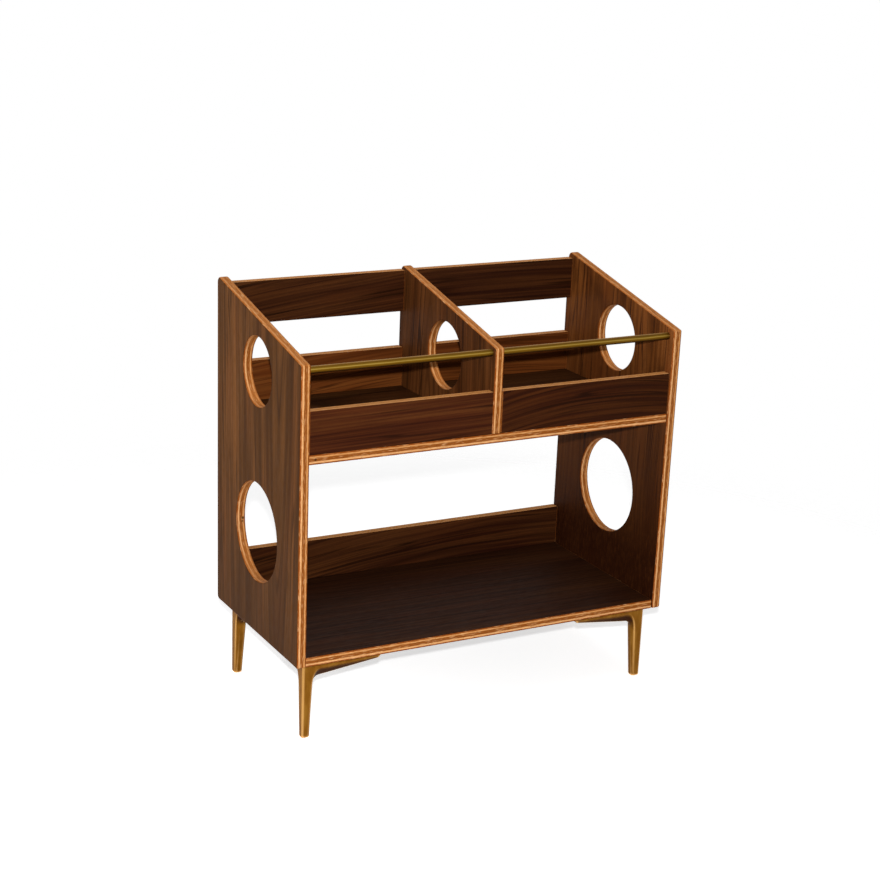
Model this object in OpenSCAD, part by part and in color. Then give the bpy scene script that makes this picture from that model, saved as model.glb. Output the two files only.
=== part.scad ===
// Record storage stand: two round-cut side panels carry a wide lower bay and
// two shallow bins on top, a brass rod keeps the records in the bins, and four
// cast brass corner legs hold the case off the floor.
// Millimetres. Origin on the floor, under the middle of the stand.
// +X to the right, front towards -Y, +Z up.

/* [Overall] */
// Width over the two side panels
stand_w = 743; // [700:1:1000]
// Depth of the side panels, front edge to back edge
stand_d = 362; // [350:1:420]
// Height from the floor to the highest point of the sides
stand_h = 749; // [700:1:800]
// Rise of the sides' tops from the front corner to the highest point
side_rise = 75; // [50:1:100]

/* [Boards] */
// Thickness of the veneered plywood
board_t = 17.5; // [16:0.5:19]
// Rounding of the top back corner of the sides and the divider
corner_r = 10; // [5:1:18]
// Rounding of the sides' bottom back corners
heel_r = 9; // [3:1:16]
// Rounding of the sides' bottom front corners
toe_r = 4; // [2:0.5:10]
// Step of shelves, bin fronts and divider behind the sides' front edges
reveal = 3; // [1:0.5:8]
// Height of the sides' front top corners above the bins' floor
bin_side_h = 153; // [140:1:170]
// Height of the rails at the back of the bins' tops and of the lower bay
rail_h = 76; // [55:1:90]
// Height of the bins' fronts and of the rails behind the bins
bin_h = 74; // [60:1:90]
// Step of the upper rails below the highest point of the sides
rail_drop = 10; // [8:1:20]

/* [Round cut-outs] */
// Diameter of the cut-out beside the lower bay
bay_hole_d = 179; // [120:1:220]
// Diameter of the cut-outs beside and between the bins
bin_hole_d = 122; // [100:1:126]
// Drop of the bin cut-outs' centres below their panel's front top corner
bin_hole_drop = 53.5; // [45:0.5:60]
// Rounding of the cut-outs' rims on both faces of their panel
rim_r = 2.5; // [1:0.5:4]

/* [Rod] */
// Diameter of the brass rod
rod_d = 12.7; // [8:0.1:14]
// Distance of the rod's axis behind the sides' front edges
rod_setback = 18; // [15:1:24]
// Drop of the rod's axis below the sides' front top corners
rod_drop = 13; // [10:1:18]
// Depth of the blind holes that hold the rod's ends
rod_seat = 9; // [6:0.5:12]

/* [Legs] */
// Height of the case above the floor
leg_h = 143; // [120:1:150]
// Step of the legs' outer faces behind the sides' outer faces and edges
leg_inset = 20.5; // [12:0.5:26]
// Width of the post under the case
post_top_w = 24.5; // [21:0.5:28]
// Width of the post at the floor
post_foot_w = 16; // [14:0.5:18]
// Gap between the tips of the two legs' arms under a side
arm_gap = 19; // [10:1:60]
// Width of an arm
arm_w = 15; // [13:0.5:18]
// Depth of an arm where it meets the post
arm_root_h = 32; // [28:0.5:36]
// Depth of an arm at its tip
arm_tip_h = 14; // [12:0.5:16]
// Radius of the fillet between post and arm
arm_fillet_r = 14; // [8:1:20]
// Depth of an arm's flat outer face near the post
strip_root_h = 14; // [11:0.5:18]
// Depth of an arm's flat outer face at its tip
strip_tip_h = 10.5; // [8:0.5:12]
// Width of the bevel behind the flat outer faces where arm and post meet
bevel_w = 8.5; // [6:0.5:11]
// Thickness of the screw plate between the arms
plate_t = 4; // [3:0.5:5]

/* [Glides] */
// Diameter of the round glide under each foot
glide_d = 10; // [7:0.5:11]
// Depth of a glide's seat in the foot
glide_seat = 2; // [1:0.5:4]
// Height of a glide below the foot
glide_proud = 1; // [0.5:0.5:2]

/* [Joinery] */
// Diameter of the beech dowels
dowel_d = 8; // [6:1:8]
// Length of a dowel between a side and a board's end
dowel_l = 30; // [25:1:40]
// Length of a dowel through the divider into the boards on both sides of it
long_dowel_l = 50; // [40:1:60]
// Depth of a dowel in a panel's face
dowel_bite = 11; // [8:0.5:12]
// Dowels in each end of a shelf
shelf_dowel_n = 4; // [3:1:5]
// Diameter of the legs' wood screws
screw_d = 4.2; // [3.5:0.1:4.8]
// Length of the legs' wood screws
screw_l = 16; // [12:1:17]
// Diameter of the screws' countersunk heads
screw_head_d = 8; // [7:0.5:9]

/* [Clearances] */
// Gap round a glued dowel
dowel_gap = 0.05; // [0:0.05:0.2]
// Glue space past a dowel's far end
dowel_end_gap = 1; // [0.5:0.5:2]
// Gap round the rod in its holes
rod_gap = 0.1; // [0.05:0.05:0.3]
// End play of the rod between the sides
rod_play = 0.5; // [0.2:0.1:2]
// Gap round a screw's shank in the leg
screw_gap = 0.2; // [0.1:0.1:0.4]

/* [Hidden] */

// Finishes
veneer = "#5a3b26";
shelf_veneer = "#3a2416";
brass = "#a8803a";
steel = "#8c8880";
beech = "#d8b98c";
nylon = "#2b2622";

// Planes of the case
front_y = -stand_d / 2;
back_y = stand_d / 2;
board_front_y = front_y + reveal;
outer_x = stand_w / 2;
inner_x = outer_x - board_t;
divider_x = board_t / 2;
side_front_h = stand_h - side_rise;
lower_top = leg_h + board_t;
middle_top = side_front_h - bin_side_h;
middle_bottom = middle_top - board_t;
bin_top = middle_top + bin_h;
upper_top = stand_h - rail_drop;
upper_bottom = upper_top - rail_h;
divider_front_h = side_front_h - reveal;
divider_h = stand_h - reveal;

// Round cut-outs
bay_hole_z = (lower_top + middle_bottom) / 2;
side_hole_y = front_y + stand_d / 2;
side_hole_z = side_front_h - bin_hole_drop;
divider_hole_y = board_front_y + stand_d / 2;
divider_hole_z = divider_front_h - bin_hole_drop;

// Rod
rod_y = front_y + rod_setback;
rod_z = side_front_h - rod_drop;

// Dowels
edge_axis = board_t / 2;
rail_axis_y = back_y - edge_axis;
front_axis_y = board_front_y + edge_axis;
dowel_margin = 45;
rail_dowel_margin = 18;
divider_dowel_n = 3;
lower_rail_z = dowel_heights(lower_top, rail_h);
bin_rail_z = dowel_heights(middle_top, bin_h);
upper_rail_z = dowel_heights(upper_bottom, rail_h);

// Legs, drawn with the outer faces on x = 0 and y = 0 and the top on z = 0
post_l = leg_h - glide_proud;
arm_l = stand_d / 2 - leg_inset - arm_gap / 2;
post_top_r = 4;
post_foot_r = 3.5;
post_back_r = 7;
foot_back_r = 5;
post_face_cut = 3;
foot_face_cut = 4;
foot_bevel_w = 3.5;
foot_round = 2;
tip_bevel_w = 2;
tip_cut = 5;
edge_round = 2.5;
edge_steps = 3;
fillet_steps = 8;
arm_steps = 4;
// Where the fillet starts on the post and ends on the arm
fillet_z = -arm_root_h - arm_fillet_r;
fillet_x = post_w(fillet_z) + arm_fillet_r;
fillet_c = [fillet_x, -arm_h(fillet_x) - arm_fillet_r];
arm_start = fillet_x + 8;
arm_stop = arm_l - tip_cut;
loft_back = arm_l + 5;
plate_end = 30;
plate_reach = arm_l - 26;
plate_hole_in = post_top_w + 22;
plate_hole_side = arm_w + 10;
plate_hole_far = plate_reach - 18;
screw_head_h = 2.5;
screw_tip_h = 4;
screw_drive_w = 1.2;
screw_drive_l = 4.4;
screw_drive_h = 1.4;
plate_holes = [
    [plate_hole_in, plate_hole_in],
    [plate_hole_far, plate_hole_side],
    [plate_hole_side, plate_hole_far]
];
// Sections of a leg's side from the foot to the tip of the arm
stations = [
    post_station(-post_l - 1),
    for (i = [0 : fillet_steps]) fillet_station(i / fillet_steps),
    for (i = [0 : arm_steps]) arm_station(mix(arm_start, arm_stop, i / arm_steps)),
    tip_station()
];
section_n = 2 * edge_steps + 5;
skin = 0.01;
hull_fn = 32;
$fn = 96;

// Slope of a panel's top from its front corner to the arc at its back corner
function top_angle(depth, rise) =
    atan2(rise - corner_r, depth - corner_r)
    + asin(corner_r / norm([depth - corner_r, rise - corner_r]));

// n places spread evenly from a to b
function spread(a, b, n) = [for (i = [0 : n - 1]) a + i * (b - a) / (n - 1)];

// Heights of the two dowels in the end of a board that is h high
function dowel_heights(bottom, h) = [bottom + rail_dowel_margin, bottom + h - rail_dowel_margin];

// Panel outline in depth (x) and height (y): level bottom, sloping top and a
// rounded top back corner
module panel_outline(y0, z0, front_h, top_h) {
    a = top_angle(back_y - y0, top_h - front_h);
    arc_c = [back_y - corner_r, top_h - corner_r];
    polygon([
        [y0, z0],
        [back_y, z0],
        [back_y, arc_c[1]],
        arc_c + corner_r * [-sin(a), cos(a)],
        [y0, front_h]
    ]);
    translate(arc_c) circle(r = corner_r);
}

// What rounding a square corner at the origin takes away, the panel on its + side
module corner_waste(r) {
    difference() {
        translate([-1, -1]) square(r + 1);
        translate([r, r]) circle(r = r);
    }
}

// Stands a depth-height outline up as a panel whose left face is at x
module upright(x) {
    translate([x, 0, 0]) rotate([90, 0, 90]) linear_extrude(board_t) children();
}

// What rounding both rims of a cut-out takes away: d across, centred on y, z in the panel
// whose left face is at x
module rim_waste(x, y, z, d) {
    translate([x, y, z]) rotate([90, 0, 90])
        for (face = [0, 1]) translate([0, 0, face * board_t]) mirror([0, 0, face])
            rotate_extrude() translate([d / 2, 0]) corner_waste(rim_r);
}

// Board between two x planes
module board(x0, x1, y0, y1, z0, z1) {
    translate([x0, y0, z0]) cube([x1 - x0, y1 - y0, z1 - z0]);
}

// Peg along X that starts at the bottom of its blind hole in side s (-1 or 1)
module side_peg(s, y, z, gap = 0, end_gap = 0) {
    translate([s * (inner_x + dowel_bite), y, z]) rotate([0, -90 * s, 0])
        cylinder(d = dowel_d + 2 * gap, h = dowel_l + end_gap);
}

// Peg along X through the divider, with the same glue space at both ends
module through_peg(y, z, gap = 0, end_gap = 0) {
    translate([0, y, z]) rotate([0, 90, 0])
        cylinder(d = dowel_d + 2 * gap, h = long_dowel_l + 2 * end_gap, center = true);
}

// Pegs of both ends of a shelf whose underside is at z0
module shelf_pegs(z0, gap = 0, end_gap = 0) {
    for (s = [-1, 1], y = spread(board_front_y + dowel_margin, back_y - dowel_margin, shelf_dowel_n))
        side_peg(s, y, z0 + edge_axis, gap, end_gap);
}

// Pegs in the outer ends of a pair of rails
module end_pegs(y, heights, gap = 0, end_gap = 0) {
    for (s = [-1, 1], z = heights) side_peg(s, y, z, gap, end_gap);
}

// Pegs that join a pair of rails through the divider
module middle_pegs(y, heights, gap = 0, end_gap = 0) {
    for (z = heights) through_peg(y, z, gap, end_gap);
}

// Upright pegs between the middle shelf and the divider's lower edge
module foot_pegs(gap = 0, end_gap = 0) {
    for (y = spread(board_front_y + dowel_margin, back_y - dowel_margin, divider_dowel_n))
        translate([0, y, middle_top - dowel_bite])
            cylinder(d = dowel_d + 2 * gap, h = dowel_l + end_gap);
}

module all_rail_pegs(gap, end_gap) {
    end_pegs(rail_axis_y, lower_rail_z, gap, end_gap);
    for (z = [bin_rail_z, upper_rail_z]) {
        end_pegs(rail_axis_y, z, gap, end_gap);
        middle_pegs(rail_axis_y, z, gap, end_gap);
    }
    end_pegs(front_axis_y, bin_rail_z, gap, end_gap);
    middle_pegs(front_axis_y, bin_rail_z, gap, end_gap);
}

module rod_bar(gap = 0, play = 0) {
    translate([-inner_x - rod_seat, rod_y, rod_z]) rotate([0, 90, 0])
        cylinder(d = rod_d + 2 * gap, h = 2 * (inner_x + rod_seat) - play);
}

// Side panel with its left face at x
module side_panel(x) {
    difference() {
        upright(x) difference() {
            panel_outline(front_y, leg_h, side_front_h, stand_h);
            translate([side_hole_y, bay_hole_z]) circle(d = bay_hole_d);
            translate([side_hole_y, side_hole_z]) circle(d = bin_hole_d);
            translate([front_y, leg_h]) corner_waste(toe_r);
            translate([back_y, leg_h]) mirror([1, 0]) corner_waste(heel_r);
        }
        rim_waste(x, side_hole_y, bay_hole_z, bay_hole_d);
        rim_waste(x, side_hole_y, side_hole_z, bin_hole_d);
        shelf_pegs(leg_h, dowel_gap);
        shelf_pegs(middle_bottom, dowel_gap);
        all_rail_pegs(dowel_gap, 0);
        rod_bar(rod_gap);
    }
}

module left_side() {
    color(veneer) side_panel(-outer_x);
}

module right_side() {
    color(veneer) side_panel(inner_x);
}

module divider() {
    color(veneer) difference() {
        upright(-divider_x) difference() {
            panel_outline(board_front_y, middle_top, divider_front_h, divider_h);
            translate([divider_hole_y, divider_hole_z]) circle(d = bin_hole_d);
        }
        rim_waste(-divider_x, divider_hole_y, divider_hole_z, bin_hole_d);
        foot_pegs(dowel_gap, dowel_end_gap);
        all_rail_pegs(dowel_gap, 0);
        rod_bar(rod_gap);
    }
}

module middle_shelf() {
    color(shelf_veneer) difference() {
        board(-inner_x, inner_x, board_front_y, back_y, middle_bottom, middle_top);
        shelf_pegs(middle_bottom, dowel_gap, dowel_end_gap);
        foot_pegs(dowel_gap);
    }
}

module lower_shelf() {
    color(shelf_veneer) difference() {
        board(-inner_x, inner_x, board_front_y, back_y, leg_h, lower_top);
        shelf_pegs(leg_h, dowel_gap, dowel_end_gap);
        each_leg() plate_screws(screw_d);
    }
}

// Rail or front between side s and the divider
module bin_board(s, y0, z0, z1) {
    x0 = s < 0 ? -inner_x : divider_x;
    difference() {
        board(x0, x0 + inner_x - divider_x, y0, y0 + board_t, z0, z1);
        all_rail_pegs(dowel_gap, dowel_end_gap);
    }
}

module upper_back_rail(s) {
    color(veneer) bin_board(s, back_y - board_t, upper_bottom, upper_top);
}

module bin_back_rail(s) {
    color(veneer) bin_board(s, back_y - board_t, middle_top, bin_top);
}

module bin_front(s) {
    color(veneer) bin_board(s, board_front_y, middle_top, bin_top);
}

module lower_back_rail() {
    color(veneer) difference() {
        board(-inner_x, inner_x, back_y - board_t, back_y, lower_top, lower_top + rail_h);
        all_rail_pegs(dowel_gap, dowel_end_gap);
    }
}

module record_rod() {
    color(brass) rod_bar(0, rod_play);
}

// Places a leg's parts under the corner that is s[0] in x and s[1] in y
module at_corner(s) {
    translate([s[0] * (outer_x - leg_inset), s[1] * (back_y - leg_inset), leg_h])
        face_inwards(s) children();
}

// Mirrors a leg so that its arms run inwards from corner s
module face_inwards(s) {
    mirror([s[0] > 0 ? 1 : 0, 0, 0]) mirror([0, s[1] > 0 ? 1 : 0, 0]) children();
}

module each_leg() {
    for (sx = [-1, 1], sy = [-1, 1]) at_corner([sx, sy]) children();
}

// Straight value from a to b at share t
function mix(a, b, t) = a + (b - a) * t;

// Curve from a to b that leaves and arrives towards v
function bend(a, v, b, t) = mix(mix(a, v, t), mix(v, b, t), t);

// Post width and the width of its flat outer face at height z
function post_w(z) = mix(post_top_w, post_foot_w, -z / post_l);
function post_face(z) = post_w(z) - mix(post_face_cut, foot_face_cut, -z / post_l);

// Share of the way from the post to the tip, and the arm's depths at x
function arm_share(x) = (x - post_top_w) / (arm_l - post_top_w);
function arm_h(x) = mix(arm_root_h, arm_tip_h, arm_share(x));
function strip_h(x) = mix(strip_root_h, strip_tip_h, arm_share(x));

// A station holds the outer, ridge and inner points in x and z, and the bevel's width
function post_station(z) = [
    [0, z], [post_face(z), z], [post_w(z), z],
    mix(bevel_w, foot_bevel_w, -z / post_l)
];

function fillet_outer(t) =
    t < 0.5 ? [0, fillet_z * (1 - 2 * t)] : [fillet_x * (2 * t - 1), 0];

function fillet_station(t) = [
    fillet_outer(t),
    bend([post_face(fillet_z), fillet_z], [post_face(-strip_root_h), -strip_root_h],
        [fillet_x, -strip_h(fillet_x)], t),
    fillet_c + arm_fillet_r * [-cos(90 * t), sin(90 * t)],
    bevel_w
];

function arm_station(x) = [
    [x, 0], [x, -strip_h(x)], [x, -arm_h(x)],
    mix(bevel_w, tip_bevel_w, arm_share(x))
];

// Blunt end of an arm, its lower corner cut off
function tip_station() =
    let (share = 1 - tip_cut / arm_tip_h)
    [[arm_l, 0], [arm_l, -strip_tip_h * share], [arm_l, -arm_tip_h * share], tip_bevel_w];

// Point near corner v on the way to its neighbour a, where its rounding starts
function round_start(v, a) = v + min(edge_round / norm(a - v), 0.4) * (a - v);

// Rounded corner v of a section whose neighbours are a and b
function soft_corner(a, v, b) = [
    for (i = [0 : edge_steps]) bend(round_start(v, a), v, round_start(v, b), i / edge_steps)
];

// Section of one side of the leg at a station
function section(st) =
    let (
        outer = [st[0][0], 0, st[0][1]],
        ridge = [st[1][0], 0, st[1][1]],
        crease = [st[2][0], st[3], st[2][1]],
        inner_end = [st[2][0], loft_back, st[2][1]]
    )
    concat([outer], soft_corner(outer, ridge, crease), soft_corner(ridge, crease, inner_end),
        [inner_end, [st[0][0], loft_back, st[0][1]]]);

// Post and arm seen from the front, with the bevel, drawn out to the back
module side_loft() {
    points = [for (st = stations) each section(st)];
    last = (len(stations) - 1) * section_n;
    sides = [
        for (i = [0 : len(stations) - 2], k = [0 : section_n - 1])
            let (a = i * section_n, m = (k + 1) % section_n)
            each [[a + k, a + section_n + k, a + m], [a + m, a + section_n + k, a + section_n + m]]
    ];
    caps = [
        [for (k = [0 : section_n - 1]) k],
        [for (k = [section_n - 1 : -1 : 0]) last + k]
    ];
    polyhedron(points, concat(sides, caps), convexity = 6);
}

// Slice of the post at height z, w wide: the outer corner is rounded by r, the others by back_r
module post_slice(w, r, back_r, z) {
    translate([r, r, z]) cylinder(r = r, h = skin, $fn = hull_fn);
    for (p = [[w - back_r, back_r], [back_r, w - back_r], [w - back_r, w - back_r]])
        translate([p[0], p[1], z]) cylinder(r = back_r, h = skin, $fn = hull_fn);
}

module post_blank() {
    hull() {
        post_slice(post_top_w, post_top_r, post_back_r, -skin);
        post_slice(post_foot_w, post_foot_r, foot_back_r, -post_l + foot_round);
        translate([foot_round / 2, foot_round / 2, 0])
            post_slice(post_foot_w - foot_round, post_foot_r - foot_round / 2,
                foot_back_r - foot_round / 2, -post_l);
    }
}

module arm_blank() {
    translate([post_top_w / 2, 0, fillet_z])
        cube([arm_l - post_top_w / 2, arm_w, -fillet_z]);
}

// Screw plate in the corner between the two arms
module screw_plate() {
    translate([0, 0, -plate_t]) linear_extrude(plate_t) polygon([
        [post_top_w / 2, post_top_w / 2],
        [plate_reach, arm_w / 2],
        [plate_reach, plate_end],
        [plate_end, plate_reach],
        [arm_w / 2, plate_reach]
    ]);
}

module plate_screws(d) {
    for (p = plate_holes) translate([p[0], p[1], -plate_t]) cylinder(d = d, h = screw_l);
}

module countersink() {
    cylinder(d1 = screw_head_d, d2 = screw_d, h = screw_head_h);
}

module leg_body() {
    difference() {
        intersection() {
            side_loft();
            mirror([1, -1, 0]) side_loft();
            union() {
                post_blank();
                arm_blank();
                mirror([1, -1, 0]) arm_blank();
                screw_plate();
            }
        }
        plate_screws(screw_d + 2 * screw_gap);
        for (p = plate_holes) translate([p[0], p[1], -plate_t]) countersink();
        translate([post_foot_w / 2, post_foot_w / 2, -post_l])
            cylinder(d = glide_d, h = glide_seat);
    }
}

module leg(sx, sy) {
    color(brass) at_corner([sx, sy]) leg_body();
}

module wood_screw() {
    difference() {
        union() {
            countersink();
            cylinder(d = screw_d, h = screw_l - screw_tip_h);
            translate([0, 0, screw_l - screw_tip_h])
                cylinder(d1 = screw_d, d2 = screw_d / 4, h = screw_tip_h);
        }
        for (a = [0, 90]) rotate(a)
            translate([-screw_drive_l / 2, -screw_drive_w / 2, -skin])
                cube([screw_drive_l, screw_drive_w, screw_drive_h + skin]);
    }
}

module leg_screws() {
    color(steel) each_leg()
        for (p = plate_holes) translate([p[0], p[1], -plate_t]) wood_screw();
}

module foot_glides() {
    color(nylon) each_leg()
        translate([post_foot_w / 2, post_foot_w / 2, -leg_h])
            cylinder(d = glide_d, h = glide_seat + glide_proud);
}

module shelf_dowels() {
    color(beech) {
        shelf_pegs(leg_h);
        shelf_pegs(middle_bottom);
    }
}

module lower_rail_dowels() {
    color(beech) end_pegs(rail_axis_y, lower_rail_z);
}

module bin_rail_dowels() {
    color(beech) {
        end_pegs(rail_axis_y, bin_rail_z);
        middle_pegs(rail_axis_y, bin_rail_z);
    }
}

module upper_rail_dowels() {
    color(beech) {
        end_pegs(rail_axis_y, upper_rail_z);
        middle_pegs(rail_axis_y, upper_rail_z);
    }
}

module bin_front_dowels() {
    color(beech) {
        end_pegs(front_axis_y, bin_rail_z);
        middle_pegs(front_axis_y, bin_rail_z);
    }
}

module divider_dowels() {
    color(beech) foot_pegs();
}

left_side();
right_side();
divider();
middle_shelf();
lower_shelf();
upper_back_rail(-1);  // upper_back_rail_left
upper_back_rail(1);  // upper_back_rail_right
bin_back_rail(-1);  // bin_back_rail_left
bin_back_rail(1);  // bin_back_rail_right
bin_front(-1);  // bin_front_left
bin_front(1);  // bin_front_right
lower_back_rail();
record_rod();
leg(-1, -1);  // leg_front_left
leg(1, -1);  // leg_front_right
leg(-1, 1);  // leg_back_left
leg(1, 1);  // leg_back_right
leg_screws();
foot_glides();
shelf_dowels();
lower_rail_dowels();
bin_rail_dowels();
upper_rail_dowels();
bin_front_dowels();
divider_dowels();
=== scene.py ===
import math

import bmesh
import bpy
from mathutils import Matrix, Vector


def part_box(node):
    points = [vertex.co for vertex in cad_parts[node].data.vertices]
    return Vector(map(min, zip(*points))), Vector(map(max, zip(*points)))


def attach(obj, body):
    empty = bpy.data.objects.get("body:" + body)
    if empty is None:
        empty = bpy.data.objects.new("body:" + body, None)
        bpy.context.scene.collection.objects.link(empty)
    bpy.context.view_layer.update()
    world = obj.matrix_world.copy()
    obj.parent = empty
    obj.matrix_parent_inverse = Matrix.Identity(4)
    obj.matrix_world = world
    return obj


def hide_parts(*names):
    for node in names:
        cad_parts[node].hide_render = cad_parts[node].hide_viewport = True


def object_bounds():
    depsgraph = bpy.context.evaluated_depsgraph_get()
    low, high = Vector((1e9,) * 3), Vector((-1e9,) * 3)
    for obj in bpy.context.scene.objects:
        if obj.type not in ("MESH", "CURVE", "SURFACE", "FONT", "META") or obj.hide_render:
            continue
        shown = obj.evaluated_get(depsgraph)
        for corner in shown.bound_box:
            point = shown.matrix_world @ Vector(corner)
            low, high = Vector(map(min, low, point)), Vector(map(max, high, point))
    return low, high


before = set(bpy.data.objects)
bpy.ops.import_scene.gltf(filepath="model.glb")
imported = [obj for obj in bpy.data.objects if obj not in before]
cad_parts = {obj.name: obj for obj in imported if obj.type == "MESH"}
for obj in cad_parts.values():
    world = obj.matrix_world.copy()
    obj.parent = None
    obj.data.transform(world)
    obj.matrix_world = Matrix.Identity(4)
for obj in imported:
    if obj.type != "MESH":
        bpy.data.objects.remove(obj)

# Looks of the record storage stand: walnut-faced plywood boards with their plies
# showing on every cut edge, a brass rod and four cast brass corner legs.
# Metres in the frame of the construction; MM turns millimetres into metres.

cad_low, cad_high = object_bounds()

MM = 0.001

# Axes of a board
X, Y, Z = 0, 1, 2

# Solids
JOINED = 0.002 * MM         # corners this close are one
FLAT = math.radians(0.6)    # faces that meet this flatly are one
SHARP = math.radians(35)    # a corner this sharp is an edge, and a flatter one part of an arc

# Boards
BOARD_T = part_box("divider")[1].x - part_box("divider")[0].x
ROUTED = 3.2 * MM           # rounding of the sides' and the divider's outline
SANDED = 0.9 * MM           # rounding of the other boards' edges
ROUND_STEPS = 4
STANDING = 0.05 * MM        # an edge no higher than this stands on another board

# Legs
LEG_GRAIN = 1.0 * MM        # cell of the mesh that the casting is smoothed on
LEG_SMOOTHING = 5           # times that each of its corners moves half way to its neighbours

# Rod
ROD_SIDES = 96
ROD_CHAMFER = 0.5 * MM


# ---------------------------------------------------------------- camera

# Where the photograph was taken from, worked out from the corners of the boards
CAMERA_AT = Vector((-1.58426, -2.84288, 1.42612))
CAMERA_YAW = 0.4824
CAMERA_PITCH = -0.3299
CAMERA_ROLL = 0.0329
PHOTO_W = 880               # pixels
FOCAL = 1872.21             # pixels
CENTRE = (396.56, 515.29)   # pixel that the lens points at
SENSOR = 36.0               # mm


def photo_camera():
    """Camera at the photograph's place, with its lens and the offset of its crop."""
    data = bpy.data.cameras.new("photo_camera")
    data.sensor_width = SENSOR
    data.lens = SENSOR * FOCAL / PHOTO_W
    data.shift_x = (PHOTO_W / 2 - CENTRE[0]) / PHOTO_W
    data.shift_y = (CENTRE[1] - PHOTO_W / 2) / PHOTO_W
    camera = bpy.data.objects.new("photo_camera", data)
    bpy.context.scene.collection.objects.link(camera)
    ahead = Vector((
        math.sin(CAMERA_YAW) * math.cos(CAMERA_PITCH),
        math.cos(CAMERA_YAW) * math.cos(CAMERA_PITCH),
        math.sin(CAMERA_PITCH),
    ))
    level = Vector((math.cos(CAMERA_YAW), -math.sin(CAMERA_YAW), 0))
    over = level.cross(ahead)
    right = math.cos(CAMERA_ROLL) * level + math.sin(CAMERA_ROLL) * over
    up = right.cross(ahead)
    turn = Matrix((right, up, -ahead)).transposed()
    camera.matrix_world = Matrix.Translation(CAMERA_AT) @ turn.to_4x4()
    bpy.context.scene.camera = camera


# ---------------------------------------------------------------- nodes

# Inputs of a colour mix, which go by number: share of the second colour, and the two colours
SHARE, FIRST, SECOND = 0, 6, 7


def linear(code):
    """Linear colour of an sRGB hex value."""
    parts = [int(code[i:i + 2], 16) / 255 for i in (1, 3, 5)]
    return [v / 12.92 if v <= 0.04045 else ((v + 0.055) / 1.055) ** 2.4 for v in parts] + [1]


def add(tree, kind, inputs=(), stops=None, **settings):
    """Adds a node with its settings and links.

    Inputs come in the node's own order, or by name or number. An input is a value, a node, or
    the output of one that is linked to it. Stops are those of a colour ramp.
    """
    node = tree.nodes.new("ShaderNode" + kind)
    for name, value in settings.items():
        setattr(node, name, value)
    for key, value in inputs.items() if isinstance(inputs, dict) else enumerate(inputs):
        if isinstance(value, bpy.types.Node):
            value = next(output for output in value.outputs if output.enabled)
        if isinstance(value, bpy.types.NodeSocket):
            tree.links.new(value, node.inputs[key])
        else:
            node.inputs[key].default_value = value
    if stops:
        ramp = node.color_ramp.elements
        while len(ramp) < len(stops):
            ramp.new(1)
        for element, (place, colour) in zip(ramp, stops):
            element.position = place
            element.color = linear(colour)
    return node


def new_material(name):
    """Node material that is still empty, and its tree."""
    material = bpy.data.materials.new(name)
    material.use_nodes = True
    material.node_tree.nodes.clear()
    return material, material.node_tree


def surfaced(material, inputs):
    """The material with its surface shader and its output."""
    tree = material.node_tree
    surface = add(tree, "BsdfPrincipled", inputs)
    add(tree, "OutputMaterial", {"Surface": surface})
    return material


def grained(tree, parts, sizes, offset=0.0):
    """Position measured in a pattern's own grains: sizes are one grain's real sizes in mm.

    The offset moves the pattern, so that each board and each layer has its own.
    """
    joined = add(tree, "CombineXYZ", parts)
    scale = [1 / (size * MM) for size in sizes]
    return add(tree, "VectorMath", [joined, scale, [offset] * 3], operation="MULTIPLY_ADD")


# ---------------------------------------------------------------- plywood

# Plies from one face to the other, as shares of the thickness. Where the cut runs with the
# grain, the long plies are pale, and the cross plies and the glue lines are dark.
PLIES = (
    (0.0, "#a2541c"), (0.08, "#84400f"), (0.14, "#a85c20"), (0.185, "#eab27a"),
    (0.31, "#dc9c60"), (0.355, "#8e4e1a"), (0.45, "#804214"), (0.5, "#9c5a24"),
    (0.57, "#824616"), (0.645, "#92501c"), (0.685, "#cc8a4e"), (0.79, "#d6985a"),
    (0.84, "#9a5018"), (0.92, "#84400f"), (1.0, "#a2541c"),
)
PLY_WANDER = 0.06           # share of the thickness over which the plies wander up and down
END_GRAIN = "#c47a3c"       # the plies where the cut runs across the grain
TOP_EDGE_LIGHT = "#f6ac62"     # the plies of a top edge, with light from above painted on

# Wood fibres on the cut edges: brown ones, short specks and pale ones. They are drawn about 1 mm
# high, because the real 0.1 mm doesn't show. Each has a seed, one fibre's sizes in mm, the noise
# from which it shows and at which it shows most, how much it then shows, and its colour.
FIBRES = (
    (29, (22, 22, 0.9), 0.5, 0.72, 0.6, "#85481a"),
    (31, (4, 4, 0.8), 0.62, 0.74, 0.6, "#6a3814"),
    (37, (14, 14, 1.1), 0.56, 0.72, 0.5, "#efbc84"),
)

# Small knots and pin holes in the cut edges: place and radius in mm
MARKS = {
    "left_side": (((-359.0, 89.5, 328.0), 2.6), ((-360.0, 89.5, 322.0), 1.8)),
    "middle_shelf": (((-342.3, -178.0, 512.1), 2.2),),
}
MARK_COLOUR = "#2e1406"

VENEER_T = 0.6              # mm of walnut on each face of the plywood
ARRIS_W = 1.6               # mm of a board's end where the pale ply shows through the veneer
ARRIS_PALE_SHARE = 0.35           # how much of the pale ply shows there

# The lacquer is satin and mirrors little of the room
LACQUER_IOR = 1.45
LACQUER_SHINE = 0.035

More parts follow.
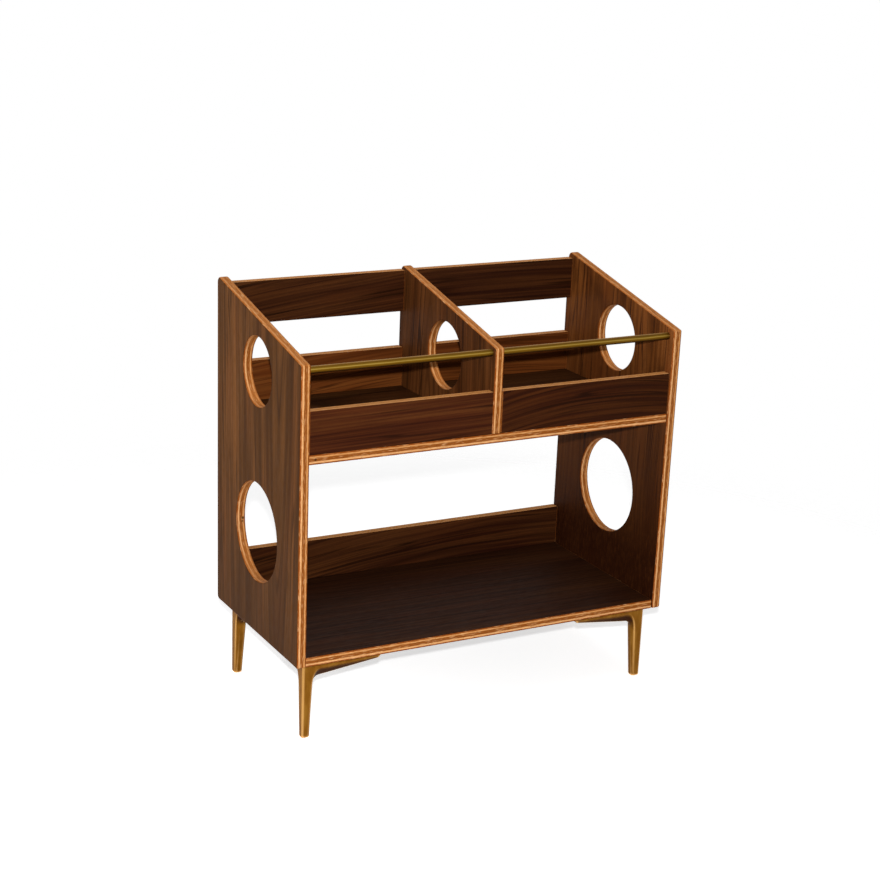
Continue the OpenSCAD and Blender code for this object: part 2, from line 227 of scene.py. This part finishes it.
# Tones of the walnut faces: dark streak, body, light streak and late wood
SIDE_TONES = ("#4e2e11", "#684220", "#82532b", "#3a2009")
INNER_TONES = ("#42220d", "#5c3518", "#724422", "#2c1608")
RIGHT_TONES = ("#683a18", "#7e4920", "#90582b", "#260e05")
RAIL_TONES = ("#2c1208", "#42220f", "#563016", "#180802")
BIN_RAIL_TONES = ("#54290e", "#663514", "#76431c", "#3a1a06")
FRONT_TONES = ("#36160a", "#4c2511", "#5e3418", "#200c04")
DARK_FRONT_TONES = ("#281006", "#391a0a", "#4c2810", "#1a0802")
SHELF_TONES = ("#2a140a", "#3a1f10", "#462815", "#1e0c05")
BIN_FLOOR_TONES = ("#301808", "#3e220e", "#4a2c14", "#220f04")

# Board: slot, axis of its thickness, axis of its grain, tones, figure and dimming. A figure is
# how far the heart of the tree lies beside the board's middle and under its face (mm), how much
# its rings climb and bow along the board (mm per mm, and per metre), how far they sway (mm) and
# how wide its streaks are (mm). A dimming is where along the board the sheet on its low face
# starts to darken and is darkest (mm), how dark it gets and how dark its clouds are.
BOARDS = {
    "left_side": ("walnut_panel", X, Z, SIDE_TONES,
                  (-95, 30, -0.05, 0.02, 7, 10), (420, 140, 0.6, 0.2)),
    "right_side": ("walnut_panel", X, Z, RIGHT_TONES,
                   (30, 25, 0.06, -0.05, 16, 9), (690, 230, 0.97, 0.6)),
    "divider": ("walnut_panel", X, Z, INNER_TONES, (60, 20, 0.04, 0.0, 7, 8), None),
    "middle_shelf": ("walnut_shelf", Z, X, BIN_FLOOR_TONES, (-500, 10, 0.01, 0.0, 5, 6), None),
    "lower_shelf": ("walnut_shelf", Z, X, SHELF_TONES, (-500, 10, 0.015, 0.0, 5, 6), None),
    "upper_back_rail_left": ("walnut_rail", Y, X, RAIL_TONES,
                             (-400, 10, -0.09, 0.06, 7, 6), None),
    "upper_back_rail_right": ("walnut_rail", Y, X, RAIL_TONES,
                              (-400, 10, -0.04, 0.1, 7, 6), None),
    "bin_back_rail_left": ("walnut_rail", Y, X, BIN_RAIL_TONES,
                           (-400, 10, -0.05, 0.1, 8, 6), None),
    "bin_back_rail_right": ("walnut_rail", Y, X, BIN_RAIL_TONES,
                            (-400, 10, 0.0, 0.1, 8, 6), None),
    "bin_front_left": ("walnut_rail", Y, X, FRONT_TONES, (-400, 10, -0.02, 0.0, 4, 6), None),
    "bin_front_right": ("walnut_rail", Y, X, DARK_FRONT_TONES,
                        (-400, 10, -0.26, 0.55, 7, 6), None),
    "lower_back_rail": ("walnut_rail", Y, X, RAIL_TONES, (-400, 10, -0.08, 0.2, 9, 6), None),
}
SEED_STEP = 5.3             # between the patterns of one board and the next


class Board:
    """A board in its own directions: its corners, and the nodes that place a point on it."""

    def __init__(self, tree, node, thick, grain):
        self.thick, self.grain, self.across = thick, grain, 3 - thick - grain
        self.low, self.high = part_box(node)
        self.middle = (self.low + self.high) / 2
        coordinates = add(tree, "TexCoord").outputs
        self.place = coordinates["Object"]
        self.facing = add(tree, "SeparateXYZ", [coordinates["Normal"]]).outputs
        axes = add(tree, "SeparateXYZ", [self.place]).outputs
        self.side, self.along, self.depth = axes[self.across], axes[grain], axes[thick]
        self.point = (self.side, self.along, self.depth)
        over_low = add(tree, "Math", [self.depth, self.low[thick]], operation="SUBTRACT")
        self.share = add(tree, "Math", [over_low, BOARD_T], operation="DIVIDE")


def on_rings(tree, board, rings, seed):
    """A point on the board, with its distance from the heart of the tree in place of its side.

    The heart lies beside the board's middle and under its face. Its rings climb and bow along
    the board and sway by a few millimetres.
    """
    heart, underside_shade, climb, bow, sway = rings
    drift = add(tree, "TexNoise", {
        "Vector": grained(tree, board.point, (110, 380, 40), seed), "Scale": 1.0, "Detail": 1.0,
    })
    heart_at = board.middle[board.across] + (heart + sway) * MM
    off_heart = add(tree, "Math", [board.side, heart_at], operation="SUBTRACT")
    off_heart = add(tree, "Math", [drift, 2 * sway * MM, off_heart], operation="MULTIPLY_ADD")
    squared = add(tree, "Math", [off_heart, off_heart, (underside_shade * MM) ** 2],
                  operation="MULTIPLY_ADD")
    radius = add(tree, "Math", [squared], operation="SQRT")
    rise = add(tree, "Math", [board.along, bow, climb], operation="MULTIPLY_ADD")
    ring = add(tree, "Math", [rise, board.along, radius], operation="MULTIPLY_ADD")
    return ring, board.along, board.depth


def walnut_veneer(tree, board, tones, figure, dim, seed):
    """Colour of a sheet of walnut veneer, and the noise that its pores are drawn with.

    The slice cuts through the tree's growth rings: they run as long streaks beside its heart
    and as arches over it, with fine open pores between them.
    """
    dark, body, light, late_wood = tones
    *rings, width = figure
    ringed = on_rings(tree, board, rings, seed)

    # Streaks nearly half a metre long, each split into finer ones, on soft bands 45 mm wide
    streak = add(tree, "TexNoise", {
        "Vector": grained(tree, ringed, (width, 460, 40), seed + 3),
        "Scale": 1.0, "Detail": 2.0, "Roughness": 0.65,
    })
    band = add(tree, "TexNoise", {
        "Vector": grained(tree, ringed, (45, 700, 40), seed + 7), "Scale": 1.0, "Detail": 1.0,
    })
    tone = add(tree, "Math", [band, 0.6, -0.3], operation="MULTIPLY_ADD")
    tone = add(tree, "Math", [tone, streak], operation="ADD")
    streaks = add(tree, "ValToRGB", [tone], stops=((0.3, dark), (0.5, body), (0.7, light)))

    # Patches 45 mm wide and 240 mm long that lean to pink or to olive
    patch = add(tree, "TexNoise", {
        "Vector": grained(tree, board.point, (45, 240, 40), seed + 41),
        "Scale": 1.0, "Detail": 2.0,
    })
    hues = add(tree, "ValToRGB", [patch],
               stops=((0.36, "#84806c"), (0.5, "#808080"), (0.64, "#8e7872")))
    tinted = add(tree, "Mix", {SHARE: 0.4, FIRST: streaks, SECOND: hues},
                 data_type="RGBA", blend_type="SOFT_LIGHT")

    # Growth lines: dark late wood where a stretched noise passes its middle value, bold in
    # some stretches and faint in others
    late = add(tree, "TexNoise", {
        "Vector": grained(tree, ringed, (10, 420, 40), seed + 11), "Scale": 1.0, "Detail": 1.0,
    })
    off_line = add(tree, "Math", [late, 0.5], operation="SUBTRACT")
    off_line = add(tree, "Math", [off_line], operation="ABSOLUTE")
    line = add(tree, "MapRange", [off_line, 0.05, 0.01])
    boldness = add(tree, "TexNoise", {
        "Vector": grained(tree, board.point, (30, 220, 40), seed + 13),
        "Scale": 1.0, "Detail": 1.0,
    })
    bold = add(tree, "MapRange", [boldness, 0.38, 0.6, 0.12, 0.85])
    line_share = add(tree, "Math", [line, bold], operation="MULTIPLY")
    lined = add(tree, "Mix", {SHARE: line_share, FIRST: tinted, SECOND: linear(late_wood)},
                data_type="RGBA")

    # The sheet on the board's low face may darken towards one end, and in clouds 40 mm wide and
    # 100 mm long
    if dim:
        dim_from, dim_to, dim_share, cloud_share = dim
        dimmed = add(tree, "MapRange", [board.along, dim_from * MM, dim_to * MM, 0.0, dim_share])
        cloud = add(tree, "TexNoise", {
            "Vector": grained(tree, board.point, (40, 100, 40), seed + 43),
            "Scale": 1.0, "Detail": 3.0,
        })
        clouded = add(tree, "MapRange", [cloud, 0.48, 0.68, 0.0, cloud_share])
        dimmed = add(tree, "Math", [dimmed, clouded], operation="MAXIMUM")
        low_sheet = add(tree, "Math", [board.depth, board.middle[board.thick]],
                        operation="LESS_THAN")
        dimmed = add(tree, "Math", [dimmed, low_sheet], operation="MULTIPLY")
        lined = add(tree, "Mix", {SHARE: dimmed, FIRST: lined, SECOND: linear(late_wood)},
                    data_type="RGBA")

    # Pores, drawn 1.4 mm wide and 16 mm long, because the real 0.3 mm doesn't show
    pore = add(tree, "TexNoise", {
        "Vector": grained(tree, board.point, (1.4, 16, 2), seed + 17),
        "Scale": 1.0, "Detail": 1.0,
    })
    pores = add(tree, "MapRange", [pore, 0.52, 0.74, 0.0, 0.3])
    sheet = add(tree, "Mix", {SHARE: pores, FIRST: lined, SECOND: linear(dark)},
                data_type="RGBA")
    return sheet, pore


def cut_edge(tree, board, marks, seed):
    """Colour of an edge as it is sawn and sanded: pale long plies and brown cross plies."""
    wander = add(tree, "TexNoise", {
        "Vector": grained(tree, board.point, (30, 30, 20), seed + 23),
        "Scale": 1.0, "Detail": 2.0,
    })
    ply = add(tree, "Math", [wander, PLY_WANDER, board.share], operation="MULTIPLY_ADD")
    ply = add(tree, "Math", [ply, PLY_WANDER / 2], operation="SUBTRACT")
    edge = add(tree, "ValToRGB", [ply], stops=PLIES)

    # Across the grain the plies differ less
    turned = add(tree, "Math", [board.facing[board.grain]], operation="ABSOLUTE")
    end_share = add(tree, "MapRange", [turned, 0.3, 0.85, 0.0, 0.6])
    edge = add(tree, "Mix", {SHARE: end_share, FIRST: edge, SECOND: linear(END_GRAIN)},
               data_type="RGBA")

    # Painted light: the top edges of the rails and the bins' fronts are paler, as lit from above
    if board.thick == Y:
        lit_top_share = add(tree, "MapRange", [board.facing[Z], 0.5, 0.9, 0.0, 0.45])
        edge = add(tree, "Mix", {SHARE: lit_top_share, FIRST: edge, SECOND: linear(TOP_EDGE_LIGHT)},
                   data_type="RGBA")

    for step, sizes, start, end, most, code in FIBRES:
        fibre = add(tree, "TexNoise", {
            "Vector": grained(tree, board.point, sizes, seed + step),
            "Scale": 1.0, "Detail": 1.0,
        })
        shown = add(tree, "MapRange", [fibre, start, end, 0.0, most])
        edge = add(tree, "Mix", {SHARE: shown, FIRST: edge, SECOND: linear(code)},
                   data_type="RGBA")
    for spot, spot_r in marks:
        far = add(tree, "VectorMath", [board.place, [v * MM for v in spot]],
                  operation="DISTANCE")
        stain = add(tree, "MapRange", [far, 1.4 * spot_r * MM, 0.5 * spot_r * MM, 0.0, 0.85])
        edge = add(tree, "Mix", {SHARE: stain, FIRST: edge, SECOND: linear(MARK_COLOUR)},
                   data_type="RGBA")
    return edge


def walnut_plywood(node, thick, grain, tones, figure, dim, seed):
    """Walnut-veneered plywood, sanded and finished in a thin satin lacquer.

    Both faces are walnut. Every cut edge shows the pale long plies, the brown cross plies and
    the thin dark line of the veneer.
    """
    material, tree = new_material("walnut_plywood_" + node)
    board = Board(tree, node, thick, grain)
    sheet, pore = walnut_veneer(tree, board, tones, figure, dim, seed)
    edge = cut_edge(tree, board, MARKS.get(node, ()), seed)

    # The veneer is the outer 0.6 mm of both faces, and lets the pale ply show at the ends of the
    # boards that run across the stand
    from_middle = add(tree, "Math", [board.share, 0.5], operation="SUBTRACT")
    from_middle = add(tree, "Math", [from_middle], operation="ABSOLUTE")
    veneer_from = 0.5 - VENEER_T * MM / BOARD_T
    is_face = add(tree, "MapRange", [from_middle, veneer_from - 0.006, veneer_from + 0.002])
    if grain == X:
        off_middle = add(tree, "Math", [board.along, board.middle[X]], operation="SUBTRACT")
        off_middle = add(tree, "Math", [off_middle], operation="ABSOLUTE")
        half = (board.high[X] - board.low[X]) / 2
        pale_end = add(tree, "MapRange", [
            off_middle, half - ARRIS_W * MM, half - ARRIS_W * MM / 2, 0.0, ARRIS_PALE_SHARE,
        ])
        is_face = add(tree, "Math", [is_face, pale_end], operation="SUBTRACT")
    colour = add(tree, "Mix", {SHARE: is_face, FIRST: edge, SECOND: sheet}, data_type="RGBA")

    # The pores stay rougher under the lacquer
    rough = add(tree, "MapRange", [pore, 0.3, 0.7, 0.48, 0.64])
    relief = add(tree, "Bump", {"Strength": 0.25, "Distance": 0.1 * MM, "Height": pore})
    return surfaced(material, {
        "Base Color": colour, "Roughness": rough, "Normal": relief,
        "IOR": LACQUER_IOR, "Specular IOR Level": LACQUER_SHINE,
    })


# ---------------------------------------------------------------- brass and small parts

# Painted light round the rod, from painted shade on its underside past a painted highlight round
# its middle to a painted reflection along its top
ROD_PAINTED_LIGHT = (
    (0.0, "#2a1400"), (0.2, "#382004"), (0.35, "#5a3c08"), (0.46, "#6e4e0e"),
    (0.56, "#785816"), (0.64, "#a0843e"), (0.73, "#785a1a"), (0.86, "#503608"),
    (0.95, "#624410"), (0.985, "#8c6830"),
)
DRAW_LINE = "#4c350a"

# Toning of the legs, with painted shade and a painted highlight
LEG_PATCHES = ((0.3, "#6e430a"), (0.5, "#7e5012"), (0.7, "#8e611f"))
# Painted shade on the faces that look down and in the scoop under the case, and a painted
# highlight along the ridges
LEG_UNDERSIDE_SHADE = "#321402"
LEG_SCOOP_SHADE = "#301402"
LEG_RIDGE_HIGHLIGHT = "#dcaa66"
RIDGE_HIGHLIGHT_SHARE = 0.95          # how strongly the painted highlight covers the toning on a ridge
BARE_BRASS = 0.35           # how much metal shows through the toning elsewhere
TONING_SHINE = 0.05         # the toning is dull


def drawn_brass():
    """Brass rod, drawn and brushed: olive gold with faint lines along its length.

    The brushing spreads the light a little, and round it runs painted light: painted shade
    underneath, a painted highlight as a soft band round its middle and a painted reflection
    along its top.
    """
    material, tree = new_material("drawn_brass")
    coordinates = add(tree, "TexCoord").outputs
    axes = add(tree, "SeparateXYZ", [coordinates["Object"]]).outputs
    # The bands of painted light run round the rod, and each wanders along it over 60 mm
    wander = add(tree, "TexNoise", {
        "Vector": grained(tree, axes, (60, 9, 9)), "Scale": 1.0, "Detail": 1.0,
    })
    facing = add(tree, "SeparateXYZ", [coordinates["Normal"]]).outputs[Z]
    facing = add(tree, "Math", [wander, 0.2, facing], operation="MULTIPLY_ADD")
    height = add(tree, "MapRange", [facing, -0.9, 1.1])
    painted_light_bands = add(tree, "ValToRGB", [height], stops=ROD_PAINTED_LIGHT)
    # Draw lines 80 mm long, drawn half a millimetre apart because the real ones don't show
    lines = add(tree, "TexNoise", {
        "Vector": grained(tree, axes, (80, 0.5, 0.5)), "Scale": 1.0, "Detail": 2.0,
    })
    line_share = add(tree, "MapRange", [lines, 0.5, 0.8, 0.0, 0.5])
    colour = add(tree, "Mix", {SHARE: line_share, FIRST: painted_light_bands, SECOND: linear(DRAW_LINE)},
                 data_type="RGBA")
    rough = add(tree, "MapRange", [lines, 0.3, 0.7, 0.46, 0.56])
    return surfaced(material, {"Base Color": colour, "Roughness": rough, "Metallic": 1.0})


def cast_brass_with_painted_light():
    """Cast brass, toned dark, with a painted highlight on the ridges and painted shade in the
    hollows.

    The casting's skin leaves a faint unevenness. The faces that look down and the scoop under
    the case are darkened with painted shade.
    """
    material, tree = new_material("cast_brass_with_painted_light")
    coordinates = add(tree, "TexCoord").outputs
    axes = add(tree, "SeparateXYZ", [coordinates["Object"]]).outputs
    # Uneven toning, in patches 14 mm wide and 40 mm high
    patch = add(tree, "TexNoise", {
        "Vector": grained(tree, axes, (14, 14, 40)), "Scale": 1.0, "Detail": 3.0,
    })
    leg_colour = add(tree, "ValToRGB", [patch], stops=LEG_PATCHES)
    # Painted shade: faces that look down are darkened
    facing = add(tree, "SeparateXYZ", [coordinates["Normal"]]).outputs[Z]
    underside_shade = add(tree, "MapRange", [facing, -0.2, -0.65, 0.0, 0.9])
    leg_colour = add(tree, "Mix", {SHARE: underside_shade, FIRST: leg_colour, SECOND: linear(LEG_UNDERSIDE_SHADE)},
                data_type="RGBA")
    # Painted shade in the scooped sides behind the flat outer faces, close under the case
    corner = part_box("leg_back_right")[1]
    behind = []
    for axis in (X, Y):
        out = add(tree, "Math", [axes[axis]], operation="ABSOLUTE")
        behind.append(add(tree, "Math", [corner[axis], out], operation="SUBTRACT"))
    depth = add(tree, "Math", behind, operation="MINIMUM")
    scooped = add(tree, "MapRange", [depth, 0.6 * MM, 3.0 * MM])
    height = add(tree, "MapRange", [axes[Z], 96 * MM, 114 * MM, 0.0, 0.95])
    scoop_shade = add(tree, "Math", [scooped, height], operation="MULTIPLY")
    leg_colour = add(tree, "Mix", {SHARE: scoop_shade, FIRST: leg_colour, SECOND: linear(LEG_SCOOP_SHADE)},
                data_type="RGBA")
    # Painted highlight along the ridges
    pointed = add(tree, "NewGeometry").outputs["Pointiness"]
    ridge_highlight = add(tree, "MapRange", [pointed, 0.505, 0.525, 0.0, RIDGE_HIGHLIGHT_SHARE])
    colour = add(tree, "Mix", {SHARE: ridge_highlight, FIRST: leg_colour, SECOND: linear(LEG_RIDGE_HIGHLIGHT)},
                 data_type="RGBA")
    # The toning is a dull film: bare metal shows fully only under the painted ridge highlight
    bare = add(tree, "MapRange", [ridge_highlight, 0.0, RIDGE_HIGHLIGHT_SHARE, BARE_BRASS, 1.0])
    # Fine sand texture of the mould, 1.5 mm, under the lacquer
    sand = add(tree, "TexNoise", {
        "Vector": grained(tree, axes, (1.5, 1.5, 1.5)), "Scale": 1.0, "Detail": 2.0,
    })
    rough = add(tree, "MapRange", [sand, 0.3, 0.7, 0.46, 0.58])
    relief = add(tree, "Bump", {"Strength": 0.2, "Distance": 0.05 * MM, "Height": sand})
    return surfaced(material, {
        "Base Color": colour, "Roughness": rough, "Normal": relief, "Metallic": bare,
        "Specular IOR Level": TONING_SHINE,
    })


def small_part(name, sizes, detail, stops, roughness, values):
    """Material that one noise with real grain sizes in mm tints and makes uneven."""
    material, tree = new_material(name)
    axes = add(tree, "SeparateXYZ", [add(tree, "TexCoord").outputs["Object"]]).outputs
    noise = add(tree, "TexNoise", {
        "Vector": grained(tree, axes, sizes), "Scale": 1.0, "Detail": detail,
    })
    colour = add(tree, "ValToRGB", [noise], stops=stops)
    rough = add(tree, "MapRange", [noise, 0.3, 0.7, *roughness])
    return surfaced(material, {"Base Color": colour, "Roughness": rough, **values})


def zinc_plated_steel():
    """Zinc-plated steel of the wood screws: bright grey with a cloudy, slightly blue plating."""
    return small_part("zinc_plated_steel", (3, 3, 3), 3.0,
                      ((0.35, "#8d8f92"), (0.65, "#b9bcc0")), (0.28, 0.45), {"Metallic": 1.0})


def moulded_nylon():
    """Moulded nylon of the glides: dull brown-black, scuffed paler where it slides."""
    return small_part("moulded_nylon", (2, 2, 2), 4.0,
                      ((0.4, "#211c18"), (0.7, "#3a332d")), (0.45, 0.65), {"IOR": 1.53})


def turned_beech():
    """Beech of the dowels: pale, with short brown rays and a dry, unfinished surface."""
    return small_part("turned_beech", (6, 1, 1), 2.0,
                      ((0.35, "#b98d5c"), (0.6, "#dcbd90")), (0.75, 0.6), {"IOR": 1.5})


# ---------------------------------------------------------------- pieces

def turns(sides):
    """Angles of the corners of a round piece."""
    return [2 * math.pi * i / sides for i in range(sides)]


def linked(name, mesh):
    """New object of the scene with this mesh."""
    piece = bpy.data.objects.new(name, mesh)
    bpy.context.scene.collection.objects.link(piece)
    return piece


def meshed(name, solid):
    """Turns a bmesh into a mesh and frees it."""
    mesh = bpy.data.meshes.new(name)
    solid.to_mesh(mesh)
    solid.free()
    return mesh


def copied_solid(node):
    """The node's solid as a clean bmesh: doubles joined, and flat faces made whole again."""
    solid = bmesh.new()
    solid.from_mesh(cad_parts[node].data)
    bmesh.ops.remove_doubles(solid, verts=solid.verts, dist=JOINED)
    bmesh.ops.recalc_face_normals(solid, faces=solid.faces)
    bmesh.ops.dissolve_limit(solid, angle_limit=FLAT, verts=solid.verts, edges=solid.edges)
    return solid


def placed(solid, node, material):
    """Makes a bmesh the piece that stands for a node."""
    for face in solid.faces:
        face.smooth = True
    piece = linked(node + "_finished", meshed(node + "_finished", solid))
    piece.data.materials.append(material)
    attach(piece, "root")
    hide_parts(node)
    return piece


def routed_blank(node, rounding, stands):
    """A board before it is drilled: its own outline with the edges rounded over.

    The lower edges stay square where the board stands on another one.
    """
    blank = bmesh.new()
    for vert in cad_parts[node].data.vertices:
        blank.verts.new(vert.co)
    bmesh.ops.remove_doubles(blank, verts=blank.verts, dist=JOINED)
    hull = bmesh.ops.convex_hull(blank, input=blank.verts)
    bmesh.ops.delete(blank, geom=hull["geom_interior"], context="VERTS")
    bmesh.ops.dissolve_limit(blank, angle_limit=FLAT, verts=blank.verts, edges=blank.edges)
    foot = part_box(node)[0].z + STANDING
    outline = [
        edge for edge in blank.edges
        if edge.calc_face_angle() > SHARP
        and not (stands and all(end.co.z < foot for end in edge.verts))
    ]
    bmesh.ops.bevel(blank, geom=outline, offset=rounding, segments=ROUND_STEPS, profile=0.5,
                    affect="EDGES", clamp_overlap=True)
    return linked(node + "_blank", meshed(node + "_blank", blank))


def applied(piece):
    """Replaces a piece's mesh by what its modifiers make of it."""
    shaped = piece.evaluated_get(bpy.context.evaluated_depsgraph_get())
    mesh = bpy.data.meshes.new_from_object(shaped)
    piece.modifiers.clear()
    piece.data = mesh


def sanded_board(node, material, rounding, stands):
    """A board as it is cut and drilled, within the rounded outline of its blank."""
    piece = placed(copied_solid(node), node, material)
    blank = routed_blank(node, rounding, stands)
    outline = piece.modifiers.new("outline", "BOOLEAN")
    outline.operation = "INTERSECT"
    outline.solver = "EXACT"
    outline.object = blank
    applied(piece)
    bpy.data.objects.remove(blank)
    for face in piece.data.polygons:
        face.use_smooth = True
    piece.data.set_sharp_from_angle(angle=SHARP)
    piece.modifiers.new("flat_faces", "WEIGHTED_NORMAL").keep_sharp = True


def cast_leg(node, material):
    """A leg smoothed as a casting is: one flowing skin in place of the solid's facets."""
    piece = placed(copied_solid(node), node, material)
    skin = piece.modifiers.new("skin", "REMESH")
    skin.mode = "VOXEL"
    skin.voxel_size = LEG_GRAIN
    skin.use_smooth_shade = True
    flow = piece.modifiers.new("flow", "SMOOTH")
    flow.factor = 0.5
    flow.iterations = LEG_SMOOTHING
    applied(piece)


def turned_rod(node, material):
    """The rod, turned on its axis with a small chamfer at each end."""
    low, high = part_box(node)
    radius = (high.z - low.z) / 2
    axis = (low + high) / 2
    profile = (
        (low.x, radius - ROD_CHAMFER), (low.x + ROD_CHAMFER, radius),
        (high.x - ROD_CHAMFER, radius), (high.x, radius - ROD_CHAMFER),
    )
    solid = bmesh.new()
    rings = [
        [solid.verts.new((x, axis.y - r * math.sin(turn), axis.z + r * math.cos(turn)))
         for turn in turns(ROD_SIDES)]
        for x, r in profile
    ]
    for near, far in zip(rings, rings[1:]):
        for i in range(ROD_SIDES):
            solid.faces.new((near[i - 1], near[i], far[i], far[i - 1]))
    for end, ring in ((low.x, rings[0]), (high.x, rings[-1])):
        centre = solid.verts.new((end, axis.y, axis.z))
        for i in range(ROD_SIDES):
            solid.faces.new((centre, ring[i - 1], ring[i]))
    bmesh.ops.recalc_face_normals(solid, faces=solid.faces)
    piece = placed(solid, node, material)
    piece.modifiers.new("flat_faces", "WEIGHTED_NORMAL").keep_sharp = True


def finish_node(node, material):
    """Keeps a node's own shape and gives it its finish."""
    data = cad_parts[node].data
    data.materials.clear()
    data.materials.append(material)


# ---------------------------------------------------------------- stage and light

FLOOR_R = 1.7               # metres
FLOOR_SIDES = 64            # corners of its rim
FLOOR_FADE = (0.95, 1.6)    # metres from the middle between which the floor fades out
FLOOR_LIFT = 0.62           # strength that brings the lit floor up to the white background

# Lamps: place and width of the soft box in metres, and watts. The key is a flash just over the
# lens, and the others fill from the left and from above.
LAMPS = {
    "key": (CAMERA_AT + Vector((0, 0, 0.13)), 0.05, 100.0),
    "side_fill": (Vector((-2.6, 0.3, 1.1)), 1.2, 24.0),
    "top_fill": (Vector((0.1, -0.3, 2.4)), 1.4, 10.0),
}
WHITE = (1, 1, 1, 1)
BACKGROUND = 1.0            # strength of the white that is seen
AMBIENT = 0.12              # strength of the even room that lights the stand


def seen_rays(tree):
    """1 for the rays that show a surface to the eye, straight, mirrored or through glass."""
    path = add(tree, "LightPath").outputs
    seen = add(tree, "Math", [path["Is Camera Ray"], path["Is Glossy Ray"]],
               operation="MAXIMUM")
    return add(tree, "Math", [seen, path["Is Transmission Ray"]], operation="MAXIMUM")


def matt_floor_paint():
    """Matt white paint of the floor, faintly mottled by the roller, clear towards its rim."""
    material, tree = new_material("matt_floor_paint")
    place = add(tree, "TexCoord").outputs["Object"]
    mottle = add(tree, "TexNoise", {"Vector": place, "Scale": 3.0, "Detail": 3.0})
    colour = add(tree, "ValToRGB", [mottle], stops=((0.3, "#f4f4f4"), (0.7, "#f8f8f8")))
    lift = add(tree, "Math", [seen_rays(tree), FLOOR_LIFT], operation="MULTIPLY")
    paint = add(tree, "BsdfPrincipled", {
        "Base Color": colour, "Roughness": 0.9, "Specular IOR Level": 0.1,
        "Emission Color": WHITE, "Emission Strength": lift,
    })
    reach = add(tree, "VectorMath", [place], operation="LENGTH")
    fade = add(tree, "MapRange", [reach, *FLOOR_FADE], interpolation_type="SMOOTHSTEP")
    mixed = add(tree, "MixShader", [fade, paint, add(tree, "BsdfTransparent")])
    add(tree, "OutputMaterial", {"Surface": mixed})
    return material


def studio_floor():
    """Round pale floor that fades into the white background and keeps the stand's shadow."""
    disc = bmesh.new()
    disc.faces.new([
        disc.verts.new((FLOOR_R * math.cos(turn), FLOOR_R * math.sin(turn), 0))
        for turn in turns(FLOOR_SIDES)
    ])
    floor = linked("studio_floor", meshed("studio_floor", disc))
    floor.data.materials.append(matt_floor_paint())


def studio_light():
    """Lamps that point at the middle of the stand, in an even room with a white background."""
    middle = (cad_low + cad_high) / 2
    for name, (place, width, watts) in LAMPS.items():
        data = bpy.data.lights.new(name, "AREA")
        data.size = width
        data.energy = watts
        light = bpy.data.objects.new(name, data)
        light.location = place
        light.rotation_euler = (middle - place).to_track_quat("-Z", "Y").to_euler()
        light.visible_camera = False
        bpy.context.scene.collection.objects.link(light)
    world = bpy.data.worlds.new("white_studio")
    world.use_nodes = True
    bpy.context.scene.world = world
    tree = world.node_tree
    tree.nodes.clear()
    room = add(tree, "Background", {"Color": WHITE, "Strength": AMBIENT})
    white = add(tree, "Background", {"Color": WHITE, "Strength": BACKGROUND})
    mixed = add(tree, "MixShader", [seen_rays(tree), room, white])
    add(tree, "OutputWorld", {"Surface": mixed})


# ---------------------------------------------------------------- the stand

bpy.context.scene.view_settings.view_transform = "Standard"
photo_camera()
studio_floor()
studio_light()

for number, (node, (slot, *finish)) in enumerate(BOARDS.items()):
    veneered = walnut_plywood(node, *finish, SEED_STEP * number)
    rounding = ROUTED if slot == "walnut_panel" else SANDED
    sanded_board(node, veneered, rounding, stands=node == "divider")

turned_rod("record_rod", drawn_brass())

leg_brass = cast_brass_with_painted_light()
for node in ("leg_front_left", "leg_front_right", "leg_back_left", "leg_back_right"):
    cast_leg(node, leg_brass)

finish_node("leg_screws", zinc_plated_steel())
finish_node("foot_glides", moulded_nylon())
beech = turned_beech()
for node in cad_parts:
    if node.endswith("dowels"):
        finish_node(node, beech)
